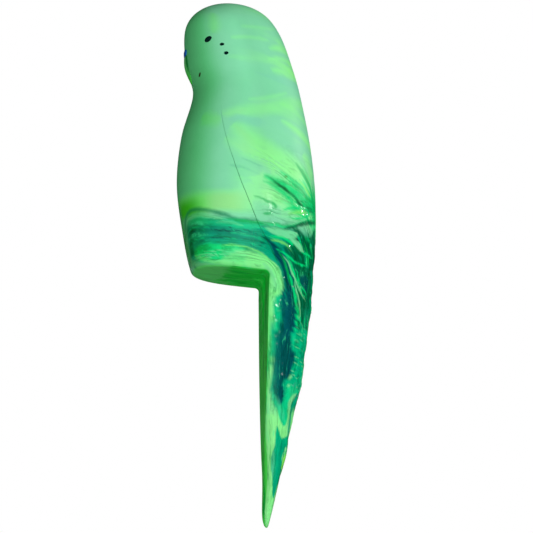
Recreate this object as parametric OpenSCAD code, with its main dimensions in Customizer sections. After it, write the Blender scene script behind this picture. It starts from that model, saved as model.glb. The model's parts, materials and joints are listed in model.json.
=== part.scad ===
// Shelf-sitting budgerigar figure.
// The bird faces -Y and its own left side is +X. The origin is the inner corner of the
// notch on the centre plane: the seat lies in z = 0 and the tail hangs below it.

/* [Size] */
// Height of the crown above the seat
crown_h = 107; // [100:0.5:115]
// Length of the tail below the seat
tail_l = 89.5; // [80:0.5:100]
// Width across the folded wings
body_w = 44; // [40:1:48]
// Depth from the breast to the back
body_d = 53; // [50:1:56]

/* [Notch] */
// Slope of the tail's front face away from plumb, in degrees
tail_slope = 4; // [1:0.5:6]
// Radius of the notch's inner corner
notch_r = 1.5; // [0.5:0.25:3]
// Radius of the seat's outer rim
rim_r = 2; // [1:0.25:4]
// How far the seat's front corners stand out of the oval, as a share of its radius
corner_share = 0.12; // [0:0.02:0.16]

/* [Wings] */
// Thickness of a wing panel
wing_t = 1.8; // [1.2:0.1:2.4]
// Gap all round a wing panel
wing_gap = 0.15; // [0.1:0.05:0.3]
// Height of the wings' upper edge above the seat
wing_top = 70; // [60:1:74]
// Depth of the wing tips below the seat
wing_tip = 26; // [20:1:30]

/* [Face] */
// Height of the eyes above the seat
eye_h = 86.8; // [82:0.2:92]
// Turn of the eyes from the front, in degrees
eye_turn = 51; // [40:1:60]
// Radius of an eye
eye_r = 1.25; // [0.8:0.05:1.6]
// Width of the beak at its root
beak_w = 6.4; // [5:0.2:8]
// Height of the beak from root to tip
beak_l = 10.6; // [8:0.2:12]
// How far the beak stands proud of the face
beak_proud = 0.6; // [0.3:0.1:1.5]
// Width of the cere
cere_w = 6.8; // [4:0.2:7]
// Height of the cere
cere_l = 2.6; // [1.8:0.2:3]

/* [Hidden] */

// Clearance round every plug and inlay
plug_gap = 0.03;
// Depth of the blind bores for the eyes and spots
plug_depth = 3;
// How far a bore's tool runs out past the skin
bore_over = 2;
// How far an eye, a spot and the cere stand proud of the skin
eye_proud = 0.25;
spot_proud = 0.08;
cere_proud = 0.4;
// Back wall of the pockets behind the beak and the cere
pocket_y = -31.5;
// Length and width of a cheek spot, and the turn and height of each
spot_l = 1.65;
spot_w = 1.15;
cheek_spots = [[66, 84.2], [68.5, 80.6]];
// Radius of a round throat spot, with its turn and height
throat_r = 0.75;
throat_turn = 27;
throat_h = 74.5;
// Length that a cutting tool runs past what it cuts
past = 60;

// Sections of the bird from the crown to the tail tip, at the nominal size:
// height, front, back and half width
NOMINAL = [107, 89.5, 44, 53];
SECTIONS = [
    [107.0, -20.0, -20.0,  0.0],
    [105.0, -31.5,  -8.5, 10.0],
    [ 97.0, -38.0,  -1.0, 16.5],
    [ 82.0, -36.5,   5.5, 19.0],
    [ 70.0, -32.7,   9.4, 19.4],
    [ 52.0, -35.5,  14.0, 21.5],
    [ 34.0, -35.5,  17.0, 22.0],
    [ 17.0, -32.0,  18.0, 19.5],
    [  0.0, -26.5,  17.8, 15.0],
    [-22.0, -15.0,  17.0, 12.0],
    [-45.0,  -2.5,  15.0,  9.0],
    [-68.0,   4.3,  11.9,  5.5],
    [-85.0,   6.0,   9.3,  2.5],
    [-89.5,   8.0,   8.0,  0.0]
];

// Height above the seat, and turn of a wing's lower edge from the front there, in degrees.
// Above and below the wing it only spaces the points of the body's rings.
WING_EDGE = [
    [-90, 118], [-60, 126], [-40, 142], [-27, 160], [-20, 150], [-10, 130],
    [4, 109], [16, 92], [30, 80], [48, 66.5], [58, 60], [70, 56], [110, 56]
];

// A section at this build's size
function fitted(row) = [
    row[0] * (row[0] > 0 ? crown_h / NOMINAL[0] : tail_l / NOMINAL[1]),
    row[1] * body_d / NOMINAL[3],
    row[2] * body_d / NOMINAL[3],
    row[3] * body_w / NOMINAL[2]
];

// The sections next to the crown and the tip are repeated beyond them, turned inside out,
// so that the curve closes roundly at both ends.
last = len(SECTIONS) - 1;
function inside_out(row) = [row[0], row[2], row[1], -row[3]];
KNOTS = [for (row = concat([inside_out(SECTIONS[1])], SECTIONS, [inside_out(SECTIONS[last - 1])]))
    fitted(row)];

// Catmull-Rom curve through b and c, with a and d as its outer neighbours
function curve(a, b, c, d, s) =
    0.5 * (2 * b + (c - a) * s + (2 * a - 5 * b + 4 * c - d) * s * s
           + (3 * b - a - 3 * c + d) * s * s * s);

// Section at place t along the bird, 0 at the crown and last at the tail tip
function section(t) =
    let (i = min(floor(t), last - 1), s = t - i)
    curve(KNOTS[i], KNOTS[i + 1], KNOTS[i + 2], KNOTS[i + 3], s);

// Place t of a height, found by halving
function place(height, low = 0, high = last, steps = 24) =
    let (middle = (low + high) / 2)
    steps == 0 ? middle :
    section(middle)[0] > height ? place(height, middle, high, steps - 1)
                                : place(height, low, middle, steps - 1);

// Heights above and below the seat over which its front corners fade into the oval
corner_rise = 26;
corner_drop = 10;
function fade(share) = share * share * (3 - 2 * share);
function corner(height, angle) =
    let (near = max(1 - max(height / corner_rise, -height / corner_drop), 0))
    abs(angle) < 90 ? 1 + corner_share * fade(near) * pow(sin(2 * angle), 2) : 1;

// Point of a section at an angle from the front, sunk below the skin by inset
function ring_point(row, angle, inset = 0) =
    let (out = corner(row[0], angle))
    [
        max(row[3] - inset, 0) * sin(angle) * out,
        (row[1] + row[2]) / 2 - max((row[2] - row[1]) / 2 - inset, 0) * cos(angle) * out,
        row[0]
    ];
function skin(t, angle) = ring_point(section(t), angle);
function front_at(height) = section(place(height))[1];

// How far the rounded rim draws the skin in, at the seat and in front of the tail
rim_fade = 4;
function rim(point) =
    let (rise = max(point[2], 0), ahead = min(max(-point[1] / rim_fade, 0), 1))
    point[2] > -2 * step && rise < rim_r
        ? ahead * (rim_r - sqrt(rim_r * rim_r - pow(rim_r - rise, 2)))
        : 0;
function rounded(row, angle, inset) =
    ring_point(row, angle, inset + rim(ring_point(row, angle, inset)));

// ---- Body ----

// Columns of points in front of the wing's edge and behind it, on one side
front_columns = 9;
back_columns = 10;
ring_size = 2 * (front_columns + back_columns) + 2;
recess_top = wing_top + wing_gap;
recess_tip = -wing_tip - wing_gap;
// Step between the rows at either side of a recess wall or of the seat plane
step = 0.05;

function in_recess(height) = height < recess_top + step / 2 && height > recess_tip - step / 2;

// Half a ring as [angle, inset] pairs from front to back
function half_ring(height) =
    let (edge = lookup(height, WING_EDGE),
         sunk = in_recess(height) ? wing_t + wing_gap : 0,
         start = in_recess(height) ? edge : edge + 2.5)
    concat(
        [for (j = [0:front_columns]) [edge * j / front_columns, 0]],
        [for (k = [0:back_columns]) [start + (180 - start) * k / back_columns, sunk]]
    );
function body_ring(t) =
    let (row = section(t), half = half_ring(row[0]), count = len(half))
    concat(
        [for (i = [0:count - 1]) rounded(row, half[i][0], half[i][1])],
        [for (i = [count - 2:-1:1]) rounded(row, -half[i][0], half[i][1])]
    );

// Rows of the loft: five to a span at the crown and three elsewhere, with extra rows
// at the recess walls and round the rim
seat_t = place(0);
body_rows = concat(
    [0.08, 0.2, 0.4, 0.6, 0.8],
    [for (i = [1:seat_t - 1], s = [0:0.25:0.75]) if (section(i + s)[0] > recess_top + 1) i + s],
    [place(recess_top + step), place(recess_top)],
    [for (i = [1:seat_t - 1], s = [0:0.25:0.75])
        if (section(i + s)[0] < recess_top - 1 && section(i + s)[0] > rim_r + 1) i + s],
    [place(rim_r), place(rim_r * 0.5), place(rim_r * 0.2), place(step), place(-step)],
    [for (z = [-4:-4:5 - wing_tip]) place(z)],
    [place(recess_tip), place(recess_tip - step)],
    [for (z = [-34:-7:4 - tail_l]) place(z)],
    [place(1.5 - tail_l)]
);

// Closed skin over rings of the same size, with a point at either end
module skinned(rings, top, bottom) {
    n = len(rings[0]);
    rows = len(rings);
    points = concat([top], [for (ring = rings, p = ring) p], [bottom]);
    end = len(points) - 1;
    polyhedron(points, concat(
        [for (j = [0:n - 1]) [0, 1 + (j + 1) % n, 1 + j]],
        [for (i = [0:rows - 2], j = [0:n - 1])
            [1 + i * n + j, 1 + i * n + (j + 1) % n, 1 + (i + 1) * n + j]],
        [for (i = [0:rows - 2], j = [0:n - 1])
            [1 + i * n + (j + 1) % n, 1 + (i + 1) * n + (j + 1) % n, 1 + (i + 1) * n + j]],
        [for (j = [0:n - 1]) [end, 1 + (rows - 1) * n + j, 1 + (rows - 1) * n + (j + 1) % n]]
    ));
}

// The space of the shelf: everything below the seat and in front of the tail
module notch_cutter() {
    run = past * tan(tail_slope);
    rotate([90, 0, 90])
        linear_extrude(past * 2, center = true)
            difference() {
                polygon([[0, 0], [run * 2, -past * 2], [-past, -past * 2], [-past, 0]]);
                difference() {
                    translate([-notch_r, -notch_r]) square(notch_r * 2);
                    translate([-notch_r, -notch_r]) circle(notch_r, $fn = 48);
                }
            }
}

module body() {
    color([0.45, 0.88, 0.62])
        difference() {
            skinned([for (t = body_rows) body_ring(t)], skin(0, 0), skin(last, 0));
            notch_cutter();
            pocket() beak_outline(plug_gap);
            pocket() cere_outline(plug_gap);
            for (side = [0, 1]) mirror([side, 0, 0]) {
                on_skin(eye_h, eye_turn) bore(eye_r);
                for (spot = cheek_spots) on_skin(spot[1], spot[0]) spot_bore();
                on_skin(throat_h, throat_turn) bore(throat_r);
            }
        }
}

// ---- Wings ----

wing_columns = 10;

// One row of a left wing panel: its outer skin from the edge to the centre plane and
// back along its inner face
function wing_ring(t) =
    let (row = section(t), low = lookup(row[0], WING_EDGE),
         turn_gap = wing_gap / row[3] * 180 / PI,
         angles = [for (k = [0:wing_columns])
             low + turn_gap + (180 - low - 2 * turn_gap) * k / wing_columns])
    concat(
        [for (k = [0:wing_columns]) ring_point(row, angles[k])],
        [for (k = [wing_columns:-1:0]) ring_point(row, angles[k], wing_t)]
    );
wing_rows = concat(
    [place(wing_top)],
    [for (z = [wing_top - 4:-4:4 - wing_tip]) place(z)],
    [place(-wing_tip)]
);

module wing_panel() {
    rings = [for (t = wing_rows) wing_ring(t)];
    n = len(rings[0]);
    rows = len(rings);
    end = (rows - 1) * n;
    polyhedron([for (ring = rings, p = ring) p], concat(
        [for (k = [0:wing_columns - 1]) [k, n - 1 - k, n - 2 - k]],
        [for (k = [0:wing_columns - 1]) [k + 1, k, n - 2 - k]],
        [for (i = [0:rows - 2], j = [0:n - 1]) [i * n + j, i * n + (j + 1) % n, (i + 1) * n + j]],
        [for (i = [0:rows - 2], j = [0:n - 1])
            [i * n + (j + 1) % n, (i + 1) * n + (j + 1) % n, (i + 1) * n + j]],
        [for (k = [0:wing_columns - 1]) [end + n - 2 - k, end + n - 1 - k, end + k]],
        [for (k = [0:wing_columns - 1]) [end + n - 2 - k, end + k, end + k + 1]]
    ));
}

module wing_left() {
    color([0.35, 0.85, 0.5]) wing_panel();
}

module wing_right() {
    color([0.35, 0.85, 0.5]) mirror([1, 0, 0]) wing_panel();
}

// ---- Beak and cere ----

beak_top = 84.6;
cere_bottom = beak_top + 0.2;
// Radius of the beak's round front, and how far the beak leans back towards its tip
beak_round = 4.2;
beak_lean = 17;
// Steps along the front profile of an inlay
profile_steps = 8;

// Front view of the beak: two arcs that meet at the tip
module beak_outline(grow = 0) {
    arc_r = (beak_l * beak_l + beak_w * beak_w / 4) / beak_w;
    reach = arc_r - beak_w / 2;
    intersection() {
        translate([reach, beak_top]) circle(arc_r + grow, $fn = 96);
        translate([-reach, beak_top]) circle(arc_r + grow, $fn = 96);
        translate([-beak_w, beak_top - 2 * beak_l]) square([2 * beak_w, 2 * beak_l + grow]);
    }
}

// Front view of the cere: two round lobes side by side
module cere_outline(grow = 0) {
    r = cere_l / 2;
    lobe_x = cere_w / 2 - r;
    translate([0, cere_bottom + r]) {
        for (side = [-1, 1]) translate([side * lobe_x, 0]) circle(r + grow, $fn = 32);
        square([2 * lobe_x, 2 * (r + grow)], center = true);
    }
}

// A front view run forward from a wall at y = back
module front_block(back) {
    translate([0, back, 0]) rotate([90, 0, 0]) linear_extrude(past / 2) children();
}

// Pocket in the face for an inlay
module pocket() {
    front_block(pocket_y) children();
}

// Inlay between two heights: its front view, cut off to a profile that bulges from the face
module inlay(low, high, proud) {
    back = pocket_y - plug_gap;
    heights = [for (i = [0:profile_steps]) low + (high - low) * i / profile_steps];
    profile = [for (z = heights)
        [front_at(z) - proud * (0.35 + 0.65 * sin(180 * (z - low) / (high - low))), z]];
    intersection() {
        front_block(back) children();
        rotate([90, 0, 90])
            linear_extrude(past, center = true)
                polygon(concat([[back, low]], profile, [[back, high]]));
    }
}

module beak() {
    middle = beak_top - beak_l / 2;
    color([0.2, 0.66, 0.36])
        intersection() {
            inlay(beak_top - beak_l, beak_top, beak_proud) beak_outline();
            translate([0, front_at(middle) - beak_proud + beak_round, middle])
                rotate([beak_lean, 0, 0])
                    cylinder(h = past, r = beak_round, center = true, $fn = 64);
        }
}

module cere() {
    color([0.05, 0.3, 0.55])
        inlay(cere_bottom, cere_bottom + cere_l, cere_proud) cere_outline();
}

// ---- Eyes and spots ----

// Puts its children on the skin with +Z out of it and +Y level along it
module on_skin(height, turn) {
    t = place(height);
    along = skin(t, turn + 1) - skin(t, turn - 1);
    down = skin(t + 0.01, turn) - skin(t - 0.01, turn);
    out = cross(down, along) / norm(cross(down, along));
    translate(skin(t, turn))
        rotate([0, acos(out[2]), atan2(out[1], out[0])])
            children();
}

// Blind round bore, sunk from outside the skin
module bore(r) {
    translate([0, 0, -plug_depth]) cylinder(h = plug_depth + bore_over, r = r + plug_gap, $fn = 32);
}

// Level slot with round ends
module slot(grow) {
    r = spot_w / 2;
    run = spot_l - spot_w;
    for (side = [-0.5, 0.5]) translate([0, side * run]) circle(r + grow, $fn = 32);
    square([2 * (r + grow), run], center = true);
}
module spot_bore() {
    translate([0, 0, -plug_depth]) linear_extrude(plug_depth + bore_over) slot(plug_gap);
}

// Round plug with a low domed head
module plug(r, proud) {
    dome_r = (r * r + proud * proud) / (2 * proud);
    foot = plug_depth - plug_gap;
    rotate_extrude($fn = 64)
        intersection() {
            translate([0, proud - dome_r]) circle(dome_r, $fn = 96);
            translate([0, -foot]) square([r, foot + proud]);
        }
}

module eye_left() {
    color([0.02, 0.06, 0.05]) on_skin(eye_h, eye_turn) plug(eye_r, eye_proud);
}
module eye_right() {
    mirror([1, 0, 0]) eye_left();
}

module cheek_spots_left() {
    color([0.02, 0.08, 0.06])
        for (spot = cheek_spots)
            on_skin(spot[1], spot[0])
                translate([0, 0, plug_gap - plug_depth])
                    linear_extrude(plug_depth - plug_gap + spot_proud) slot(0);
}
module cheek_spots_right() {
    mirror([1, 0, 0]) cheek_spots_left();
}

module throat_spot_left() {
    color([0.12, 0.14, 0.06]) on_skin(throat_h, throat_turn) plug(throat_r, spot_proud);
}
module throat_spot_right() {
    mirror([1, 0, 0]) throat_spot_left();
}

body();
wing_left();
wing_right();
beak();
cere();
eye_left();
eye_right();
cheek_spots_left();
cheek_spots_right();
throat_spot_left();
throat_spot_right();
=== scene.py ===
"""Looks of the shelf-sitting budgerigar: marbled body and wings, beak, cere, eyes and spots.

The shape is worked out in millimetres in the CAD frame and written to the meshes in metres.
The bird faces -Y, its own left side is +X, the seat lies in z = 0 and the tail hangs below it.
"""
import json
import math

import bpy
import numpy as np
from mathutils import Matrix, Vector

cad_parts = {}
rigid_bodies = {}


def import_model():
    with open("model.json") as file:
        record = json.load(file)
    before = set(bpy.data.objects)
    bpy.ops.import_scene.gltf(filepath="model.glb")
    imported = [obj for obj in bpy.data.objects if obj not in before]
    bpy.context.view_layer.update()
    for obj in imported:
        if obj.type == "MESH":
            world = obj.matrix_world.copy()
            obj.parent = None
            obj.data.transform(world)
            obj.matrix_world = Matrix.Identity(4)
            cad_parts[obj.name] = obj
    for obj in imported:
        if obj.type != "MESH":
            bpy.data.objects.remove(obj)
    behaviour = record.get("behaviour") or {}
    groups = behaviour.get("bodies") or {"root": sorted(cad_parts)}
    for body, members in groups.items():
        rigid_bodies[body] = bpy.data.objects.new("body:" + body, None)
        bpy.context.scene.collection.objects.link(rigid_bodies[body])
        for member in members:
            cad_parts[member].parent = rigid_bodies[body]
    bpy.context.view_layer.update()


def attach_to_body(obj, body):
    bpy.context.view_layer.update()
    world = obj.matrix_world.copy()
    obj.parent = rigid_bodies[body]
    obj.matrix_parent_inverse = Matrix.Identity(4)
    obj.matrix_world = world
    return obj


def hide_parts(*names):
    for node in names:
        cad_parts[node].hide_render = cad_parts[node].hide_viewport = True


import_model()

MM = 0.001
SPACING = 0.5            # mm between neighbouring rows of the skin

# ---------------------------------------------------------------- plain shape of the bird

# Sections from the crown to the tail tip: height, front, back, half width (mm)
SECTIONS = np.array([
    [107.0, -20.0, -20.0,  0.0],
    [105.0, -31.5,  -8.5, 10.0],
    [ 97.0, -38.0,  -1.0, 16.5],
    [ 82.0, -36.5,   5.5, 19.0],
    [ 70.0, -32.7,   9.4, 19.4],
    [ 52.0, -35.5,  14.0, 21.5],
    [ 34.0, -35.5,  17.0, 22.0],
    [ 17.0, -32.0,  18.0, 19.5],
    [  0.0, -26.5,  17.8, 15.0],
    [-22.0, -15.0,  17.0, 12.0],
    [-45.0,  -2.5,  15.0,  9.0],
    [-68.0,   4.3,  11.9,  5.5],
    [-85.0,   6.0,   9.3,  2.5],
    [-89.5,   8.0,   8.0,  0.0],
])

# Turn of a wing's lower edge from the front, in degrees, against height
WING_EDGE = np.array([(-27, 160), (-20, 150), (-10, 130), (4, 109), (16, 92), (30, 80),
                      (48, 66.5), (58, 60), (70, 56), (110, 56)], float)
WING_TOP, WING_TIP = 70.0, -26.0
WING_THICK, WING_GAP = 1.8, 0.15

TAIL_SLOPE = math.tan(math.radians(4.0))
CORNER, CORNER_RISE, CORNER_DROP = 0.12, 26.0, 10.0
NOTCH_R = 1.5                      # inner corner of the notch
RIM_R, TAIL_RIM_R = 1.4, 0.7       # rounded edges of the seat and of the tail's front


def smooth(x, low, high):
    """Smooth step from 0 at low to 1 at high."""
    s = np.clip((np.asarray(x, float) - low) / (high - low), 0.0, 1.0)
    return s * s * (3 - 2 * s)


def fall(x, low, high):
    """Smooth step from 1 at low to 0 at high."""
    return 1 - smooth(x, low, high)


def between(x, low, high, falling, gone):
    """Smooth step up from low to high and down again from falling to gone."""
    return smooth(x, low, high) * fall(x, falling, gone)


def spline(rows, per_span):
    """Catmull-Rom curve through all but the first and last of the given rows."""
    out = []
    for i in range(len(rows) - 3):
        a, b, c, d = rows[i:i + 4]
        s = np.linspace(0, 1, per_span, endpoint=False)[:, None]
        out.append(0.5 * (2 * b + (c - a) * s + (2 * a - 5 * b + 4 * c - d) * s ** 2
                          + (3 * b - a - 3 * c + d) * s ** 3))
    out.append(rows[-2][None, :])
    return np.vstack(out)


def knots():
    """The sections with one more beyond either end, turned inside out, to close the curve."""
    over, past = (SECTIONS[i, [0, 2, 1, 3]] * [1, 1, 1, -1] for i in (1, -2))
    return np.vstack([over, SECTIONS, past])


FINE = spline(knots(), 400)
RISING = FINE[::-1]


def section(z):
    """Middle, half depth and half width of the bird at each height."""
    front = np.interp(z, RISING[:, 0], RISING[:, 1])
    back = np.interp(z, RISING[:, 0], RISING[:, 2])
    width = np.interp(z, RISING[:, 0], RISING[:, 3])
    return (front + back) / 2, (back - front) / 2, width


def tail_plane(z):
    """Y of the tail's front face at a height below the seat."""
    return -np.minimum(z, 0.0) * TAIL_SLOPE


def corner_bulge(z, turn):
    """Share by which the front corners stand out of the oval round the seat."""
    near = 1 - np.clip(np.where(z > 0, z / CORNER_RISE, -z / CORNER_DROP), 0, 1)
    return 1 + CORNER * smooth(near, 0, 1) * np.sin(2 * turn) ** 2 * (turn < np.pi / 2)


def ellipse(z, turn):
    """Points of the plain skin at heights and turns from the front (radians)."""
    middle, deep, width = section(z)
    bulge = corner_bulge(z, turn)
    return np.stack(np.broadcast_arrays(
        width * np.sin(turn) * bulge, middle - deep * np.cos(turn) * bulge, z), axis=-1)


def wing_edge(z):
    """Turn of a wing's lower edge at each height, in radians."""
    return np.radians(np.interp(z, WING_EDGE[:, 0], WING_EDGE[:, 1]))


def tail_corner(z):
    """Turn at which the plain skin meets the tail's front face."""
    middle, deep, _ = section(z)
    return np.arccos(np.clip((middle - tail_plane(z)) / np.maximum(deep, 1e-6), -1, 1))


# ---- the grid of one side: columns from the front to the back, rows from crown to tip

FRONT_COLUMNS, EDGE_COLUMNS, WING_COLUMNS = 72, 11, 90
SEAM = FRONT_COLUMNS + EDGE_COLUMNS          # column of the wing's lower edge
MIDDLE = SEAM + WING_COLUMNS                 # column of the middle of the back
FAR_SEAM = 2 * MIDDLE - SEAM                 # column of the other wing's lower edge
SEAT_TOP = 2.6           # the rows bend under the belly between +SEAT_TOP and -SEAT_TOP
SEAT_ROWS = 56
SHOULDER_TURN = wing_edge(0.0) - tail_corner(0.0)
NEAR_SEAM = 0.18         # mm from the wing's edge to the columns beside it


def column_turns(z):
    """Turns of the last column of the front block and of the wing's edge."""
    corner = tail_corner(z)
    free = corner + (np.pi - corner) * EDGE_COLUMNS / (EDGE_COLUMNS + WING_COLUMNS)
    below = smooth(-z, 27, 60)
    edge = wing_edge(z) * (1 - below) + free * below
    return np.where(z < 0, corner, wing_edge(z) - SHOULDER_TURN), edge


def half_row(z):
    """One row of one side at a height, as it is where it doesn't cross the seat."""
    corner, edge = column_turns(z)
    share = np.linspace(0, 1, FRONT_COLUMNS + 1)[:-1]
    if z < 0:
        x_edge = ellipse(z, corner)[..., 0]
        front = np.stack([x_edge * share, np.full_like(share, tail_plane(z)),
                          np.full_like(share, z)], axis=-1)
    else:
        front = ellipse(np.full_like(share, z), corner * share)
    _, deep, width = section(z)
    near = min(NEAR_SEAM * 2 / (deep + width + 0.01), 0.2 * (edge - corner), 0.1 * (np.pi - edge))
    strip = np.append(np.linspace(corner, edge - near, EDGE_COLUMNS), edge)
    behind = np.linspace(edge + near, np.pi, WING_COLUMNS)
    rest = np.concatenate([strip, behind])
    return np.vstack([front, ellipse(np.full_like(rest, z), rest)])


def seat_rows():
    """Rows that run down the belly, back under the seat and down the tail's front."""
    top, bottom = half_row(SEAT_TOP), half_row(-SEAT_TOP)
    share = np.linspace(0, 1, FRONT_COLUMNS + 1)[:-1]
    corner = tail_corner(0.0)
    rim = ellipse(np.zeros_like(share), corner * share)
    inner = np.stack([ellipse(0.0, corner)[..., 0] * share,
                      np.zeros_like(share), np.zeros_like(share)], axis=-1)
    path = np.stack([top[:FRONT_COLUMNS], rim, inner, bottom[:FRONT_COLUMNS]])
    length = np.linalg.norm(np.diff(path, axis=0), axis=2)
    reach = np.vstack([np.zeros(FRONT_COLUMNS), np.cumsum(length, axis=0)])
    rows = []
    for u in np.linspace(0, 1, SEAT_ROWS + 1)[1:-1]:
        row = half_row(SEAT_TOP * (1 - 2 * u))
        for j in range(FRONT_COLUMNS):
            for axis in range(3):
                row[j, axis] = np.interp(u * reach[-1, j], reach[:, j], path[:, j, axis])
        rows.append(row)
    return rows


def even_heights(high, low):
    """Heights between two limits, spaced evenly along the skin."""
    z, front, back, width = FINE.T
    step = np.sqrt(np.diff(z) ** 2 + np.maximum.reduce(
        [np.diff(front) ** 2, np.diff(back) ** 2, np.diff(width) ** 2]))
    run = np.concatenate([[0], np.cumsum(step)])
    start, end = np.interp([-high, -low], -z, run)
    return np.interp(np.linspace(start, end, int((end - start) / SPACING) + 1), run, z)


# ---- rounding of the seat's and the tail's edges

def rim_radius(z):
    """Radius of the rounded edges: the seat's rim, then the tail's, thinning at its tip."""
    _, deep, width = section(z)
    r = RIM_R + (TAIL_RIM_R - RIM_R) * smooth(-z, 0.5, 5)
    return np.minimum(r, 0.25 * np.minimum(deep, width) + 0.05)


def skin_and_room(p):
    """Signed distances to the plain skin, negative inside, and to the shelf's space, positive in it."""
    x, y, z = p[..., 0], p[..., 1], p[..., 2]
    middle, deep, width = section(z)
    width, deep = np.maximum(width, 0.05), np.maximum(deep, 0.05)
    u, v = x / width, (y - middle) / deep
    rho = np.sqrt(u * u + v * v) + 1e-9
    slope = np.sqrt((u / width) ** 2 + (v / deep) ** 2) / rho
    rho = rho / corner_bulge(z, np.arctan2(np.abs(u), -v))
    below, ahead = -z, (tail_plane(z) - y) * math.cos(math.atan(TAIL_SLOPE))
    room = (NOTCH_R - np.hypot(np.maximum(NOTCH_R - below, 0), np.maximum(NOTCH_R - ahead, 0))
            + np.maximum(np.minimum(below, ahead) - NOTCH_R, 0))
    return (rho - 1) / np.maximum(slope, 1e-6), room


def solid_distance(p):
    """Signed distance to the notched bird with round edges, about true near its skin."""
    skin, room = skin_and_room(p)
    r = rim_radius(p[..., 2])
    return (np.hypot(np.maximum(skin + r, 0), np.maximum(room + r, 0)) - r
            + np.minimum(np.maximum(skin, room) + r, 0))


def settle(p, times=6, h=0.02):
    """Draws points onto the rounded solid's skin."""
    for _ in range(times):
        d = solid_distance(p)
        g = np.stack([(solid_distance(p + step) - solid_distance(p - step)) / (2 * h)
                      for step in np.eye(3) * h], axis=-1)
        p = p - g * (d / np.maximum((g ** 2).sum(-1), 0.05))[..., None]
    return p


def full_grid():
    """The whole plain skin: rows by columns round the bird, starting at the front."""
    upper = even_heights(SECTIONS[0, 0], SEAT_TOP)[1:]
    lower = even_heights(-SEAT_TOP, SECTIONS[-1, 0])[:-1]
    half = np.stack([half_row(z) for z in upper] + seat_rows() + [half_row(z) for z in lower])
    low = half[..., 2] < RIM_R + 0.4
    half[low] = settle(half[low])
    half[:, 0, 0] = 0.0
    half[:, -1, 0] = 0.0
    other = half[:, -2:0:-1] * [-1, 1, 1]
    return np.concatenate([half, other], axis=1)


def grid_normals(g):
    """Outward normals of a grid of rows closed round the bird."""
    along = np.roll(g, -1, axis=1) - np.roll(g, 1, axis=1)
    down = np.gradient(g, axis=0)
    n = np.cross(down, along)
    return n / np.maximum(np.linalg.norm(n, axis=2, keepdims=True), 1e-9)


# ---------------------------------------------------------------- noise

def noise3(p, seed=0):
    """Gradient noise from about -1 to 1 at points (..., 3)."""
    base = np.floor(p).astype(np.int64)
    f = p - base
    ease = f * f * f * (f * (f * 6 - 15) + 10)
    total = 0.0
    for corner in np.ndindex(2, 2, 2):
        c = np.array(corner)
        i = base + c
        h = (i[..., 0] * 374761393 + i[..., 1] * 668265263 + i[..., 2] * 1442695041
             + seed * 1274126177) & 0xFFFFFFFF
        h = ((h ^ (h >> 13)) * 1103515245) & 0xFFFFFFFF
        h = ((h ^ (h >> 16)) * 668265263) & 0xFFFFFFFF
        h = h ^ (h >> 15)
        g = np.stack([(h >> s) & 1023 for s in (0, 10, 20)], axis=-1) / 511.5 - 1
        weight = np.prod(np.where(c, ease, 1 - ease), axis=-1)
        total = total + weight * ((f - c) * g).sum(-1)
    return total * 1.5


def layers(p, seed=0, octaves=3):
    """Noise of several octaves, from about -1 to 1."""
    out, size = 0.0, 1.0
    for k in range(octaves):
        out = out + noise3(p * 2.0 ** k, seed + 17 * k) * size
        size *= 0.5
    return out / (2 - 2 * size)


# ---------------------------------------------------------------- marbling

def srgb(*rgb):
    """Linear colour of an sRGB one given from 0 to 255."""
    c = np.array(rgb, float) / 255
    return np.where(c <= 0.04045, c / 12.92, ((c + 0.055) / 1.055) ** 2.4)


MINT = srgb(134, 226, 175)
SOFT = srgb(142, 240, 162)        # between mint and neon
NEON = srgb(150, 255, 150)
YELLOW = srgb(128, 244, 120)
YELLOW_DIM = srgb(80, 215, 8)
LIME = srgb(150, 255, 90)
PALE_TEAL = srgb(70, 208, 152)
BREAST_NEON = srgb(156, 255, 150)
PALE_NEON = srgb(148, 248, 165)
MINT_DIM = srgb(95, 196, 150)
MINT_BLUE = srgb(132, 222, 180)
SWEEP = srgb(146, 248, 155)
PALE = srgb(118, 226, 160)
EMERALD = srgb(0, 228, 128)
LEAF = srgb(0, 186, 92)
TEAL = srgb(0, 172, 128)
TEAL_LIT = srgb(0, 205, 140)
TEAL_DIM = srgb(0, 150, 118)
DEEP = srgb(0, 84, 92)
DEEP_DIM = srgb(0, 84, 82)
DARK = srgb(0, 124, 66)
SHADE = srgb(0, 98, 62)
BELLY_LINE = srgb(0, 150, 104)
RUMP = srgb(0, 140, 98)
EMERALD_DIM = srgb(0, 190, 132)
TAIL_LIGHT = srgb(148, 255, 152)
SEA = srgb(8, 210, 140)
OLIVE = srgb(108, 210, 130)
MOSS = srgb(70, 140, 40)
LOBE = srgb(142, 254, 152)
GROOVE_GREEN = srgb(20, 150, 80)
FRONT_SHADE = np.array([0.5, 0.88, 0.56])       # painted shade: the breast and face, turned from the light, are multiplied to a deeper green
SEAT_GREEN = srgb(0, 222, 62)
SEAT_OLIVE = srgb(112, 236, 128)
TAIL_FRONT = srgb(84, 250, 84)
SEAT_PALE = srgb(120, 240, 130)


def unrolled(turn, z):
    """Flat map of the skin: millimetres round the bird from its side, and height."""
    _, deep, width = section(z)
    return (turn - np.pi / 2) * (deep + width) / 2, z


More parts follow.
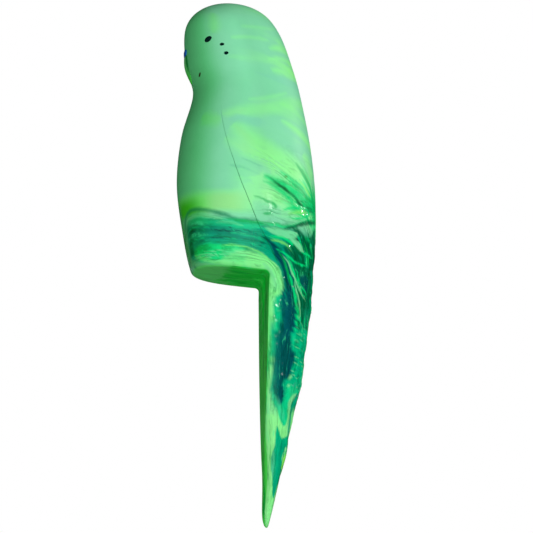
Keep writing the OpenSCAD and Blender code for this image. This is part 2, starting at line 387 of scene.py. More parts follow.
class Canvas:
    """Colours, flow and height at the points of the grid, painted on the flat map."""

    def __init__(self, g):
        middle, deep, width = section(g[..., 2])
        self.turn = np.arctan2(np.abs(g[..., 0]) / np.maximum(width, 0.05),
                               -(g[..., 1] - middle) / np.maximum(deep, 0.05))
        whole = np.degrees(np.where(g[..., 0] < 0, 2 * np.pi - self.turn, self.turn))
        far = between(whole, 158, 215, 320, 358)[..., None]
        wander = np.stack([layers(g / 11 + 3.1, 1), layers(g / 11 + 8.7, 2)], axis=-1)
        ripple = np.stack([layers(g / 2.6, 3), layers(g / 2.6, 4)], axis=-1)
        self.map = np.stack(unrolled(self.turn, g[..., 2]), axis=-1)
        self.map = self.map + wander * (0.6 + 6.0 * far) + ripple * 0.3 + far * [0, 4.0]
        self.colour = np.tile(MINT, (*g.shape[:2], 1))
        self.height = np.zeros(g.shape[:2])
        self.flow = self.level_field()
        self.streaks = layers(np.dstack([self.flow * 1.3, self.map / 9]), 31, 2)

    def level_field(self):
        """Level between the flow lines at each point, weighted by nearness."""
        total, weight = 0.0, 1e-9
        for route, level in FLOW_LINES:
            _, d, _ = self.distance(self.flat_line(route))
            near = (d.reshape(self.map.shape[:2]) ** 2 + 0.6) ** -1.2
            total = total + near * level
            weight = weight + near
        return total / weight

    def flat_line(self, route, closed=False):
        """Smooth line on the flat map through points of (turn in degrees, height)."""
        k = np.array(route, float)
        before, after = (k[-1:], k[:2]) if closed else (2 * k[:1] - k[1:2], 2 * k[-1:] - k[-2:-1])
        fine = spline(np.vstack([before, k, after]), 6)
        return np.stack(unrolled(np.radians(fine[:, 0]), fine[:, 1]), axis=-1)

    def distance(self, line, reach=None):
        """Mask of the points within reach of a line, their distance to it and place along it."""
        near = np.ones(self.map.shape[:2], bool)
        if reach is not None:
            low, high = line.min(0) - reach, line.max(0) + reach
            near = ((self.map > low) & (self.map < high)).all(-1)
        p = self.map[near]
        best, share = np.full(len(p), 1e9), np.zeros(len(p))
        runs = np.linalg.norm(np.diff(line, axis=0), axis=1)
        start, total = 0.0, runs.sum()
        for a, b, run in zip(line[:-1], line[1:], runs):
            ab = b - a
            s = np.clip(((p - a) @ ab) / max(run * run, 1e-9), 0, 1)
            d = np.linalg.norm(p - a - s[:, None] * ab, axis=1)
            closer = d < best
            best[closer] = d[closer]
            share[closer] = (start + s[closer] * run) / total
            start += run
        return near, best, share

    def patch(self, outline, colour, soft=0.5, strength=1.0, feather=0.2):
        """Paints the inside of a smooth closed outline."""
        line = self.flat_line(outline, closed=True)
        near, d, _ = self.distance(line, soft + 1)
        x, y = self.map[near].T
        inside = np.zeros(len(x), bool)
        for (ax, ay), (bx, by) in zip(line[:-1], line[1:]):
            if ay != by:
                inside ^= ((ay > y) != (by > y)) & (x < ax + (y - ay) * (bx - ax) / (by - ay))
        d = np.where(inside, -d, d) + self.streaks[near] * feather
        self.blend(near, strength * fall(d, -soft / 2, soft / 2), colour)

    def stroke(self, route, width, colour, soft=0.5, strength=1.0, ends=(0.25, 0.25), feather=0.3):
        """Paints a stroke; ends are the shares of its run over which it narrows to a point."""
        near, d, share = self.distance(self.flat_line(route), width + soft + 1)
        half = np.full(len(d), width / 2)
        for run, end in ((share, ends[0]), (1 - share, ends[1])):
            if end:
                half = half * np.sqrt(np.clip(run / end, 0, 1))
        d = d + self.streaks[near] * min(feather * width, 0.7)
        cover = strength * fall(d, half - soft / 2, half + soft / 2) * smooth(half, 0, 0.2)
        self.blend(near, cover, colour)

    def comb(self, cover, rate, colour, level):
        """Strands of a colour along the flow, where a stretched noise is above a level."""
        strands = layers(np.dstack([self.flow * rate, self.map / 11]), int(rate * 50), 3)
        self.fill(cover * smooth(strands, level, level + 0.12), colour)

    def blend(self, near, cover, colour):
        """Mixes a colour in at the points of a mask, by a cover from 0 to 1."""
        self.colour[near] += (colour - self.colour[near]) * cover[:, None]

    def fill(self, cover, colour):
        """Mixes a colour in everywhere, by a cover from 0 to 1."""
        self.colour += (colour - self.colour) * cover[..., None]

    def ridge(self, route, width, height):
        """Raises a rounded fold along a route, or sinks a crease where height is negative."""
        near, d, share = self.distance(self.flat_line(route), 2 * width + 1)
        ends = np.maximum(np.sin(np.pi * share), 0) ** 0.5
        self.height[near] += height * np.exp(-(d / width) ** 2) * ends


# Lines that the streaks follow, from the back down to the notch: (turn, height) and level
FLOW_LINES = [
    ([(20, 90), (90, 88), (170, 80)], -30),
    ([(20, 64), (90, 66), (170, 58)], -12),
    ([(20, 40), (72, 51), (96, 45), (122, 39), (147, 32), (160, 22), (167, 5), (172, -30),
      (176, -85)], 0),
    ([(20, 28), (60, 30), (97, 32), (114, 30), (131, 26), (150, 22), (157, 8), (162, -20),
      (168, -85)], 8),
    ([(20, 24), (80, 22), (100, 24), (116, 23), (143, 23.5), (151, 18), (153, 6), (154, -20),
      (160, -85)], 14),
    ([(8, 12), (18, 18), (26, 20), (48, 20), (64, 18), (74, 16.5), (93, 17), (106, 16),
      (116, 16.4), (131, 18), (142, 15), (148, 6), (148, -20), (150, -85)], 20),
    ([(10, 10), (20, 14.8), (37, 15.6), (53, 14.2), (79, 14.6), (107, 14.4), (124, 13.7),
      (135, 9), (142, 2), (144, -8), (142, -20), (142, -45), (138, -85)], 24),
    ([(10, 6), (29, 11), (61, 11.4), (78, 10.7), (98, 10.5), (110, 8), (122, 4), (132, -3),
      (138, -11), (133, -20), (132, -28), (126, -42), (124, -60), (124, -85)], 28),
    ([(10, 3), (32, 6.5), (60, 6.8), (78, 7), (94, 5.8), (104, 4), (112, 0), (118, -7),
      (120, -15), (116, -22), (108, -28), (101, -39), (100, -50), (98, -66), (96, -84)], 33),
    ([(10, 0.5), (50, 1), (90, 1.5), (101, 1), (106, -4), (104, -12), (97, -24), (90, -38),
      (84, -60), (84, -85)], 40),
]


# ---- the paint, area by area
# c is the canvas, turn is in degrees from the front, and s and t are the distance round the bird
# and the height on the wandering map, in mm. After its route and width a stroke has its colour,
# softness, strength, ends and feather. A patch has the same after its outline, without the ends.


def paint_upper(c, g, turn, t):
    """Mint head and breast with wide soft bands, turning neon down the flank."""
    s, z = c.map[..., 0], g[..., 2]
    droop = t + 0.10 * s + 2.5 * layers(g / 26, 9, 2)
    band = layers(np.stack([droop / 7, s / 60, z * 0], -1), 21, 3)
    c.fill(0.75 * smooth(band, -0.05, 0.45) * smooth(s, -10, 12), SOFT)
    c.fill(smooth(s, 4, 24) * smooth(band + 0.25 * layers(g / 9, 5), 0.0, 0.4) * smooth(z, 56, 66),
           NEON)
    c.stroke([(60, 98), (61, 93), (58, 89)], 3.5, YELLOW, 4, 0.45)
    c.stroke([(90, 92), (120, 94), (145, 97)], 1.5, SOFT, 1.5, 0.6)
    c.stroke([(76, 87), (100, 88), (122, 89)], 1.6, SOFT, 1.5, 0.7)
    c.stroke([(70, 79), (95, 79), (120, 80)], 2.0, SOFT, 2, 0.5)
    c.stroke([(118, 85), (140, 88), (166, 89.5)], 3.2, NEON, 2.5, 0.7, (0.7, 0), 0.5)
    c.stroke([(112, 80.5), (136, 83), (166, 84)], 2.4, NEON, 2, 0.6, (0.7, 0), 0.5)
    c.stroke([(112, 76.5), (134, 77.5), (166, 79)], 4, NEON, 2.5, 0.7, (0.7, 0), 0.5)
    c.stroke([(92, 74), (120, 73), (145, 74), (168, 75.5)], 3, MINT_BLUE, 1.2, 0.8, (0.5, 0))
    c.stroke([(62, 56), (85, 58), (103, 60), (130, 65), (165, 68)], 4.8, SWEEP, 4, 0.7, (0.2, 0.1))
    c.stroke([(84, 62.5), (104, 64.5), (128, 69)], 1.4, SWEEP, 1.6, 0.5)
    c.stroke([(115, 63), (140, 62), (165, 60)], 3, NEON, 3, 0.5)
    c.stroke([(116, 56), (136, 54.5), (165, 51)], 3.6, NEON, 3, 0.75, (0.6, 0))
    c.stroke([(40, 56), (52, 54), (62, 54)], 5, YELLOW, 4, 0.45)
    c.stroke([(68, 54), (84, 54), (102, 53)], 3.4, MINT_BLUE, 2, 0.9)
    c.fill(smooth(turn, 66, 92) * smooth(t, 18, 24) * fall(t + 0.35 * s, 36, 50), PALE_NEON)
    c.stroke([(72, 52), (86, 47), (97, 44), (108, 41), (122, 39), (132, 37), (140, 35), (148, 32)],
             9, NEON, 7, 0.8, (0.5, 0.1))
    c.stroke([(66, 46), (80, 43), (96, 40), (110, 38)], 5, NEON, 6, 0.5, (0.6, 0.3))
    c.stroke([(96, 53), (114, 51), (129, 49)], 6, MINT, 5, 0.8)
    c.stroke([(140, 46), (150, 42), (158, 38)], 5, NEON, 5, 0.7)
    c.stroke([(58, 39), (76, 38), (92, 37), (104, 34)], 4, MINT, 4, 0.75)
    c.stroke([(70, 36), (84, 35), (96, 33)], 0.8, MINT_DIM, 1.0, 0.6, (0.4, 0.4), 0.8)
    c.stroke([(80, 39), (90, 37.5), (98, 36)], 0.5, MINT_DIM, 0.8, 0.5)
    c.comb(0.6 * between(turn, 66, 82, 106, 120) * between(t, 27, 32, 38, 46), 1.5, MINT, 0.05)
    c.fill(between(t, 18, 21, 24, 28.5) * fall(turn, 70, 96), BREAST_NEON)
    c.fill(0.95 * between(t, 17, 20, 22, 27) * fall(turn, 24, 56), YELLOW_DIM)
    c.stroke([(88, 23), (100, 21), (112, 21)], 5, MINT, 4, 0.6)
    c.stroke([(96, 27), (106, 26.5), (114, 25)], 3.5, NEON, 3, 0.5)


def paint_swirl(c):
    """Strands of emerald and dark green that curl into each other at the back of the flank."""
    c.stroke([(158, 34), (160, 28), (162, 20), (164, 4)], 9, EMERALD, 6, 0.8, (0.3, 0), 0.6)
    turn, t = np.degrees(c.turn), c.map[..., 1]
    flank = smooth(turn, 112, 134) * fall(t, 32, 44) * smooth(t, 17, 21)
    c.comb(flank, 0.9, EMERALD, 0.10)
    c.comb(flank, 1.6, LEAF, 0.16)
    c.stroke([(98, 33), (111, 31.2), (121, 29.8), (130, 28.4), (140, 27), (158, 28)], 5.6, EMERALD,
             2.4, 0.95, (0.6, 0), 0.5)
    c.comb(smooth(turn, 104, 122) * between(t, 23, 27, 32, 38), 1.2, EMERALD, -0.02)
    c.stroke([(97, 31), (102, 30.6), (107, 29.6), (114, 28), (121, 26.2), (126, 23.8), (140, 25.5)],
             1.8, EMERALD, 1.4, 0.8, (0.4, 0.1), 0.6)
    c.stroke([(112, 36), (124, 34), (134, 32), (142, 29.5), (154, 29)], 2.4, EMERALD, 1.6, 0.8,
             (0.5, 0), 0.6)
    c.stroke([(128, 41), (137, 38), (145, 35), (152, 32), (157, 27)], 2.6, LEAF, 1.6, 0.8, (0.5, 0), 0.6)
    c.stroke([(130, 34.4), (138, 33.3), (144, 31.6), (150, 30.2)], 1.2, YELLOW, 0.7, 0.9)
    c.stroke([(134, 37), (142, 34.6), (149, 32)], 0.8, PALE_NEON, 0.6, 0.8)
    strand = [(105, 31.6), (111, 30.8), (118, 29.3), (125, 28.2), (129, 26.3), (137, 25.2), (153, 26.4)]
    for lift, width, colour in ((0.9, 0.7, LEAF), (0, 1.1, DARK), (-0.8, 0.6, SHADE), (1.7, 0.5, DARK)):
        beside = [(a - 4 * lift, z + lift) for a, z in strand]
        c.stroke(beside, width, colour, 0.8, 0.85, (0.3, 0.2), 0.7)
    c.stroke([(121, 33.8), (128, 32.4), (136, 31.1), (142, 29.2), (153, 29)], 1.0, LEAF, 0.8, 0.8,
             (0.3, 0), 0.6)
    c.stroke([(113, 22), (124, 23.6), (140, 24.9), (146, 23.6), (136, 21), (121, 19.3)], 0.9, EMERALD,
             0.6, 0.9, (0.1, 0.2))
    c.stroke([(118, 21), (128, 22.2), (141, 23.6)], 1.5, YELLOW, 0.9, 0.9, (0.5, 0.3))
    c.stroke([(89, 25), (95, 25), (101, 24), (106, 23.6), (107, 22.3), (104, 21.4)], 0.8, LEAF, 0.7,
             0.8, (0.4, 0.3), 0.5)
    c.stroke([(97, 19.2), (102, 20), (104, 20.8)], 1.1, LEAF, 0.8, 0.75)
    c.stroke([(116, 34.5), (119, 35)], 0.8, MOSS, 0.6, 0.8)


def paint_belly_line(c):
    """Dark line where the breast's green meets the teal of the belly, and its run over the wing."""
    c.stroke([(8, 11), (14, 15), (18, 18), (26, 20), (33, 20.5), (48, 20), (64, 18), (76, 16.5),
              (93, 17)], 1.3, BELLY_LINE, 1.5, 0.8, (0.1, 0.1))
    c.stroke([(74, 16.5), (90, 16), (106, 16), (116, 16.2), (128, 18.2), (140, 20.5), (158, 23)],
             0.9, EMERALD, 0.8, 0.8, (0.4, 0), 0.6)
    c.stroke([(114, 15.4), (122, 16.4), (129, 17.6), (140, 19.6), (158, 22)], 1.4, SHADE, 0.8, 0.85,
             (0.4, 0))
    c.stroke([(66, 16.4), (80, 16.2), (98, 16.6), (112, 16.9)], 0.8, LEAF, 0.7, 0.7, (0.3, 0.3), 0.6)


def paint_belly(c, turn, t):
    """Teal and emerald layers round the belly, bending down to the seat at the breast, and painted light
    over the side.
    """
    inside = fall(t, 14, 16) * between(turn, 22, 32, 96, 104)
    c.stroke([(22, 16), (37, 16.5), (53, 15.5), (67, 15), (80, 15), (96, 15.5)], 3.2, TEAL_LIT, 2, 0.9)
    c.stroke([(20, 11), (29, 12), (42, 12.5), (61, 12), (78, 11), (97, 10.5)], 3.4, TEAL_DIM, 2, 0.95)
    c.stroke([(22, 9.5), (40, 10), (60, 9.5), (80, 8.5), (98, 7)], 1.6, TEAL, 1.2, 0.9)
    c.stroke([(24, 4), (27, 9), (30, 13), (38, 15)], 2.6, DARK, 2, 0.8, (0.1, 0.5))
    c.stroke([(30, 5), (50, 5.5), (69, 5), (86, 4), (98, 2), (103, 0)], 4.2, EMERALD, 2, 1.0,
             (0.15, 0), 0.1)
    c.stroke([(34, 3), (52, 2.5), (72, 2), (90, 1)], 3.0, EMERALD, 1.6, 0.9, (0.2, 0.2), 0.1)
    c.comb(0.8 * inside * smooth(t, 7, 9), 1.3, DEEP_DIM, 0.12)
    c.comb(0.8 * inside * smooth(t, 7, 9), 1.7, TEAL_LIT, 0.14)
    c.comb(0.7 * inside * fall(t, 6, 8), 1.5, PALE, 0.12)
    c.comb(0.7 * inside * fall(t, 6, 8), 1.9, LEAF, 0.16)
    c.stroke([(28, 18.4), (36, 18.6), (46, 18.2), (56, 17.2), (64, 16)], 1.5, PALE, 0.9, 0.85,
             (0.3, 0.5))
    c.stroke([(56, 15), (66, 15.4), (80, 14.8)], 0.8, PALE, 0.8, 0.45)
    c.stroke([(58, 6.8), (69, 7.4), (78, 7.3), (86, 6.8), (94, 5.8), (101, 4), (107, 2.2)],
             0.6, YELLOW, 0.6, 0.8, (0.4, 0))
    c.stroke([(50, 7.3), (69, 8.1), (82, 7.8), (94, 6.8), (103, 4.6)], 0.6, TEAL, 0.6, 0.8, (0.3, 0))
    c.stroke([(60, 4.6), (77, 4.8), (90, 3.6)], 2.4, PALE, 2.2, 0.6, (0.4, 0.3), 0.6)
    c.stroke([(70, 5.4), (86, 5), (94, 3.4), (100, 1)], 2.0, SOFT, 1.6, 0.8, (0.7, 0), 0.5)
    c.comb(0.6 * inside * smooth(turn, 52, 66) * fall(t, 5, 7), 1.6, EMERALD, 0.1)
    c.stroke([(30, 4.5), (34, 3.5), (42, 2.5), (54, 1.4), (70, 0.8), (90, 0.4)], 1.4, YELLOW, 1.2, 0.5,
             (0.3, 0.3), 0.6)
    c.stroke([(12, 2.4), (24, 1.4), (40, 0.6), (60, 0.3)], 2.2, OLIVE, 2, 0.85, (0, 0.4))
    c.stroke([(3, 22), (5, 14), (8, 8), (11, 3)], 4.0, OLIVE, 3, 0.9, (0, 0))
    # painted light: from about 50 to 80 degrees round from the front, up to near the crown, the colour is
    # lightened by 16 percent
    side = between(turn, 26, 50, 80, 100) * fall(t, 92, 104)
    c.colour *= 1 + 0.16 * side[..., None]


def paint_rump(c, g):
    """Folds of teal, emerald and pale green that run from the flank down behind the notch."""
    turn, t = np.degrees(c.turn), c.map[..., 1]
    rump = smooth(turn, 112, 126) * fall(t, 14, 20) * smooth(t, -22, -16)
    c.comb(rump, 0.8, EMERALD, 0.2)
    c.comb(rump, 1.3, SHADE, 0.05)
    c.patch([(124, 16), (132, 16.5), (146, 15), (160, 20), (170, 14), (168, 4), (150, 5), (143, 9),
             (138, 12), (131, 14)], SHADE, 1.0, 0.85, 0.5)
    c.stroke([(140, 15), (150, 13), (156, 8)], 1.2, LEAF, 1.0, 0.8)
    c.patch([(98, 14.6), (106, 15.2), (114, 15.1), (122, 15.3), (130, 14.8), (127, 12.8), (117, 12.2),
             (108, 12.6)], PALE, 0.7, 0.95, 0.3)
    c.comb(0.7 * smooth(turn, 96, 102) * between(t, 12, 13, 14.6, 15.4), 1.8, TEAL_LIT, 0.08)
    c.stroke([(101, 12), (114, 12.1), (121, 11.2), (127, 9.7), (134, 8)], 1.0, EMERALD, 0.6, 0.9)
    c.stroke([(102, 11), (110, 10.7), (118, 9.8), (124, 8)], 0.8, YELLOW, 0.5, 0.85)
    c.stroke([(124, 10.4), (132, 8.6), (140, 7)], 1.6, SHADE, 0.8, 0.9)
    c.patch([(122, 12), (130, 12.4), (136, 11), (139, 9.2), (133, 9), (127, 10.6)], PALE, 0.6, 0.9, 0.3)
    c.stroke([(112, 8.5), (119, 7.5), (127, 4), (134, 0)], 2.4, TEAL_DIM, 0.9, 0.95)
    c.patch([(84, -38), (87, -45), (97, -48), (108, -52), (126, -52), (128, -45), (150, -42),
             (170, -38), (170, -20), (132, -19), (110, -22), (97, -27)], EMERALD_DIM, 0.8)
    lower = smooth(turn, 118, 132) * between(-t, 16, 22, 42, 47)
    c.comb(lower, 1.5, TEAL_DIM, 0.1)
    c.fill(0.7 * lower * fall(np.abs(layers(g / 2.4, 83, 2)), 0.01, 0.06), PALE)
    c.patch([(99, 11), (104, 8), (108, 5), (112, 3), (116, 0), (115, -5), (112, -9), (109, -13),
             (110, -16), (107, -19.5), (101, -22.5), (97, -26), (95, -31), (92, -36), (89, -40),
             (90, -43), (95, -45.5), (102, -46.5), (108, -46), (112, -43), (110, -39), (122, -36.5),
             (132, -32), (134, -28), (128, -24), (131, -20), (137, -16), (136, -11), (131, -7),
             (128, -2), (123, 2.5), (116, 6.5), (107, 9.5)], DEEP, 1.0, 1.0, 0.1)
    c.stroke([(112, -8), (110, -14), (106, -20), (100, -26), (95, -33), (92, -44)], 2.6, TEAL_DIM,
             3.0, 0.5, (0.3, 0.1), 0.1)
    c.stroke([(122, -22), (118, -27), (112, -34), (104, -40)], 3.0, DEEP_DIM, 2, 0.8)
    c.stroke([(106, 5), (112, 1), (117, -4), (119, -10)], 0.8, TEAL, 0.8, 0.6)
    c.stroke([(131, -9), (140, -14), (140, -19)], 3.4, SHADE, 1.2, 0.8)
    c.patch([(116, 9), (126, 8.4), (137, 5.4), (150, 4), (160, 0), (158, -8), (147, -11), (138, -9),
             (131, -4), (126, 1), (120, 5)], SHADE, 0.8, 0.75, 0.5)
    c.patch([(138, 0.4), (148, 1), (153, -1), (152, -4.5), (144, -4.4), (139, -2)], DEEP_DIM, 0.6)
    for route, width, colour in FOLD_LINES:
        c.stroke(route, width, colour, 0.4, 0.9, (0.3, 0.3))


# Thin lines of paint on the crests and in the creases of the rump
FOLD_LINES = [
    ([(110, 7.5), (115, 5), (120, 1), (124, -4)], 0.7, LEAF),
    ([(107, 8.2), (117, 6.7), (126, 4.8), (136, 4), (145, 4.3)], 0.8, EMERALD),
    ([(114, 6.5), (123, 2.1), (129, -1.6), (137, -5), (144, -6.8), (150, -8)], 0.7, PALE),
    ([(118, 6), (125, 2.6), (131, -1), (141, -5.6), (150, -6.4)], 0.8, EMERALD),
    ([(130, 2.6), (137, -2.1), (150, -5.4), (152, -7.4)], 0.7, EMERALD),
    ([(123, 0), (127, -4), (131, -8), (135, -13), (134, -17), (129, -22)], 1.0, EMERALD),
    ([(127, 0), (131, -5), (138, -10), (140, -15), (150, -18)], 0.6, PALE),
    ([(140, 13), (146, 9), (152, 4)], 0.9, LEAF),
    ([(134, 8.4), (144, 8.6), (154, 8.2)], 0.8, EMERALD),
    ([(118, 16.9), (129, 19), (140, 21.2)], 0.5, PALE),
    ([(136, -16), (129, -21), (131, -25), (132, -29), (127, -34), (121, -37)], 0.8, TEAL_LIT),
    ([(141, -12), (142, -16), (150, -20), (160, -22)], 0.7, TEAL_LIT),
    ([(128, -32), (124, -38), (117, -44)], 0.6, SOFT),
]


def paint_notch_side(c):
    """The bright lobe that turns the corner above the notch, and the strip down the tail's edge."""
    c.patch([(58, 1), (66, 4), (82, 6), (92, 5.5), (101, 4.5), (109, 2), (114, -2), (115, -5),
             (111, -8), (105, -9.5), (101, -12), (98, -11), (98, -4), (94, 0), (76, 0)], LOBE, 0.9,
            0.6, 0.5)
    c.patch([(78, 2), (84, 5), (92, 5), (101, 4), (107, 3.2), (112, 1), (115, -2.5), (113, -7),
             (107, -10), (103, -13), (100, -17), (97, -21), (96, -16), (98, -10), (98, -4), (94, 0),
             (84, 0)], LOBE, 0.7, 0.85, 0.3)
    c.stroke([(96, 2.5), (103, 0), (107, -3.5), (106, -7)], 1.6, PALE, 1.2, 0.5)
    c.patch([(106, -9), (113, -8), (110, -12), (110, -16), (107, -19.5), (102, -23), (98, -27),
             (93, -32), (93, -29), (95, -26), (98, -22), (100, -17), (103, -13)], SEA, 0.9, 0.95)
    c.stroke([(101, -8), (98, -14), (95, -20), (91, -28), (86, -34), (81, -39), (77, -44)], 1.2,
             LOBE, 0.5, 0.95, (0, 0), 0.1)
    c.stroke([(76, -42), (75, -48), (76, -54), (74, -66), (72, -80)], 2.2, LOBE, 0.5, 0.95,
             (0.2, 0), 0.1)


def paint_tail(c, t):
    """Patches that end in points down the tail, over its light green."""
    c.fill(smooth(-t, 46, 51), TAIL_LIGHT)
    c.patch([(90, -45), (95, -47.5), (104, -51.5), (116, -53.5), (128, -52), (127, -46), (150, -41),
             (122, -40), (113, -43), (109, -46.5), (100, -47)], SEA, 0.9)
    c.patch([(88, -44), (96, -47), (104, -50), (112, -52), (118, -50), (106, -47), (96, -44)],
            PALE_TEAL, 1.2, 0.5, 0.5)
    c.patch([(79, -41), (74, -45), (70, -50), (86, -50), (96, -51), (88, -47.5), (83, -45)],
            PALE_NEON, 1.0, 0.7)
    c.stroke([(146, -42), (131, -46), (138, -50), (137, -54), (148, -56)], 1.8, SOFT, 1.0, 0.9,
             (0.3, 0.2))
    c.stroke([(168, -44), (150, -44), (141, -47), (143, -51), (149, -56), (160, -60)], 1.6, TEAL,
             0.8, 0.9)
    c.patch([(94, -54), (90, -57), (91, -60), (84, -63), (74, -66), (76, -70), (86, -73), (99, -76),
             (118, -79), (132, -78), (145, -74), (152, -70), (143, -67), (132, -65), (142, -62),
             (168, -60), (150, -57), (128, -58), (112, -58), (100, -55)], EMERALD_DIM, 0.6)
    c.patch([(84, -63), (74, -66), (76, -70), (84, -72), (92, -70), (92, -65)], PALE_TEAL, 0.9, 0.8)
    c.patch([(102, -70), (112, -71), (122, -75), (124, -78), (110, -77.5), (101, -75)], TEAL_DIM, 0.8, 0.8)
    inner = smooth(np.degrees(c.turn), 86, 94) * between(-t, 58, 62, 73, 76)
    c.comb(inner, 1.6, TEAL_DIM, 0.0)
    c.comb(inner, 1.1, EMERALD, 0.2)
    c.stroke([(98, -57), (106, -62), (110, -68), (112, -75)], 1.2, TEAL, 0.8, 0.7)
    c.stroke([(124, -58), (132, -61), (150, -61)], 1.2, TEAL, 0.8, 0.7)
    c.stroke([(142, -61.5), (150, -61.8)], 1.4, PALE_NEON, 0.6, 0.9)
    c.stroke([(168, -63), (152, -65.5), (154, -69)], 2.0, LIME, 0.8, 0.9)


def streak_mask(t, turn, notch):
    """Strength of the fine streaks: almost none on the breast and head, full below the belly line."""
    low = fall(t, 14, 22)
    flank = smooth(turn, 88, 112) * fall(t, 30, 52)
    return np.clip(0.02 + np.maximum(low, 0.8 * flank) * (1 - 0.35 * notch), 0, 1)


def paint_notch(c, g, notch):
    """Streaky green on the seat and down the tail's front."""
    x, y, z = g[..., 0], g[..., 1], g[..., 2]
    c.fill(notch, SEAT_GREEN)
    lengthwise = layers(np.stack([x / 1.6 + 0.3 * layers(g / 6, 61), y / 22, z / 22], -1), 62, 3)
    c.fill(0.5 * notch * smooth(lengthwise, 0.0, 0.35), SEAT_PALE)
    c.fill(0.5 * notch * smooth(-lengthwise, 0.05, 0.4), DARK)
    cloudy = smooth(layers(g / 5, 63) + 0.1 * (-y - 14), -0.1, 0.2)
    c.fill(0.75 * notch * smooth(-y, 9, 17) * cloudy, SEAT_OLIVE)
    c.fill(0.8 * notch * smooth(-z, 14, 34) * smooth(lengthwise + 0.3, 0.0, 0.3), TAIL_FRONT)


def marble(g):
    """The painted canvas, and the strength of streaks and gloss at every point of the grid."""
    c = Canvas(g)
    turn, t = np.degrees(c.turn), c.map[..., 1]
    skin, room = skin_and_room(g)
    notch = smooth(room - skin, -0.25, 0.4) * (g[..., 2] < 1)
    notch = np.maximum(notch, smooth(-g[..., 2], 44, 52) * fall(turn, 50, 60))
    belly = fall(t, 14, 18) * smooth(turn, 12, 24)
    paint_upper(c, g, turn, t)
    c.fill(belly, TEAL)
    paint_swirl(c)
    paint_belly(c, turn, t)
    paint_belly_line(c)
    # painted shade: where the skin faces forward above the seat, on the face, breast and belly, the colour
    # is multiplied to a darker, deeper green
    front = smooth(-grid_normals(g)[..., 1], 0.36, 0.76) * smooth(t, 0, 6)
    c.colour *= 1 - (1 - FRONT_SHADE) * front[..., None]
    c.fill(0.9 * smooth(turn, 110, 126) * fall(t, 10, 16), RUMP)
    paint_rump(c, g)
    paint_notch_side(c)
    paint_tail(c, t)
    paint_notch(c, g, notch)
    streak = streak_mask(t, turn, notch)
    gloss = smooth(turn, 60, 115) * fall(t, 16, 40) * (1 - notch)
    c.colour = np.clip(c.colour, 0, 1)
    add_relief(c, g, turn, t, notch)
    return c, streak, gloss


# Folds raised on the rump and the tail: route, width and height
RIDGES = [
    ([(114, 6.5), (123, 2.1), (129, -1.6), (144, -6.8), (151, -8)], 0.8, 0.55),
    ([(117, 8), (126, 5), (136, 4), (146, 4.3)], 0.8, 0.4),
    ([(127, 0), (131, -5), (138, -10), (137, -16), (131, -19)], 0.8, 0.6),
    ([(104, 16), (116, 16.4), (129, 18.8), (140, 21), (155, 23)], 0.8, 0.5),
    ([(134, 9.4), (143, 8.4), (152, 9)], 0.6, 0.45),
    ([(128, 0.6), (135, 1.6), (142, 3)], 0.6, 0.4),
    ([(119, 16.4), (127, 18.2), (140, 21)], 0.5, 0.35),
    ([(150, 12), (160, 4), (168, -6), (164, -16)], 1.6, 0.6),
    ([(140, -22), (150, -30), (160, -36), (150, -43)], 2.4, 0.8),
    ([(150, -58), (162, -63), (150, -68)], 1.8, 0.6),
]


def add_relief(c, g, turn, t, notch):
    """Folds and creases of the thick poured paint, in millimetres along the normal."""
    folds = smooth(turn, 98, 120) * fall(t, 18, 30) * smooth(t, -60, -40)
    creased = np.abs(layers(np.dstack([c.flow * 0.5, c.map / 14]), 71, 2))
    wrinkled = np.abs(layers(g / 3.2, 72, 2))
    c.height += folds * (1.5 * creased + 0.25 * wrinkled) * (1 - notch)
    for route, width, height in RIDGES:
        c.ridge(route, width, height)
    c.height *= 1 - 0.5 * notch


# ---------------------------------------------------------------- body and wings

RECESS_DEPTH = WING_THICK + WING_GAP
GROOVE_DEPTH, GROOVE_HALF = 0.22, 0.03      # the fine gap along a wing's edge
GROOVE_PAINT = 0.75                        # strength of the darker green in it
HIDDEN_STEP = 8                            # skin columns and rows per one of the hidden faces


def faded_groove(z):
    """Share of the groove's depth that shows at a height: none near the wing's top and tip."""
    return (1 - 0.5 * smooth(z, 25, 50)) * fall(z, 52, 62) * smooth(z, WING_TIP, WING_TIP + 4)


def edge_of_groove(g, n, column, side):
    """Edge points and normals of the body and of the wing along one wing's lower edge."""
    across = g[:, column + side] - g[:, column - side]
    across = across - (across * n[:, column]).sum(-1, keepdims=True) * n[:, column]
    across = across / np.maximum(np.linalg.norm(across, axis=1, keepdims=True), 1e-9)
    share = faded_groove(g[:, column, 2])[:, None]
    bottom = g[:, column] - n[:, column] * GROOVE_DEPTH * share
    lean = across * 1.2 * share
    body = bottom - across * GROOVE_HALF * share, n[:, column] + lean
    wing = bottom + across * GROOVE_HALF * share, n[:, column] - lean
    return [(p, v / np.linalg.norm(v, axis=1, keepdims=True)) for p, v in (body, wing)]


def picked(first, last):
    """Every few indices from first to last, both included."""
    count = max(2, round((last - first) / HIDDEN_STEP) + 1)
    return np.unique(np.round(np.linspace(first, last, count)).astype(int))


def inset(picks):
    """The same indices with the first and the last moved one step inwards."""
    return np.concatenate([picks[:1] + 1, picks[1:-1], picks[-1:] - 1])


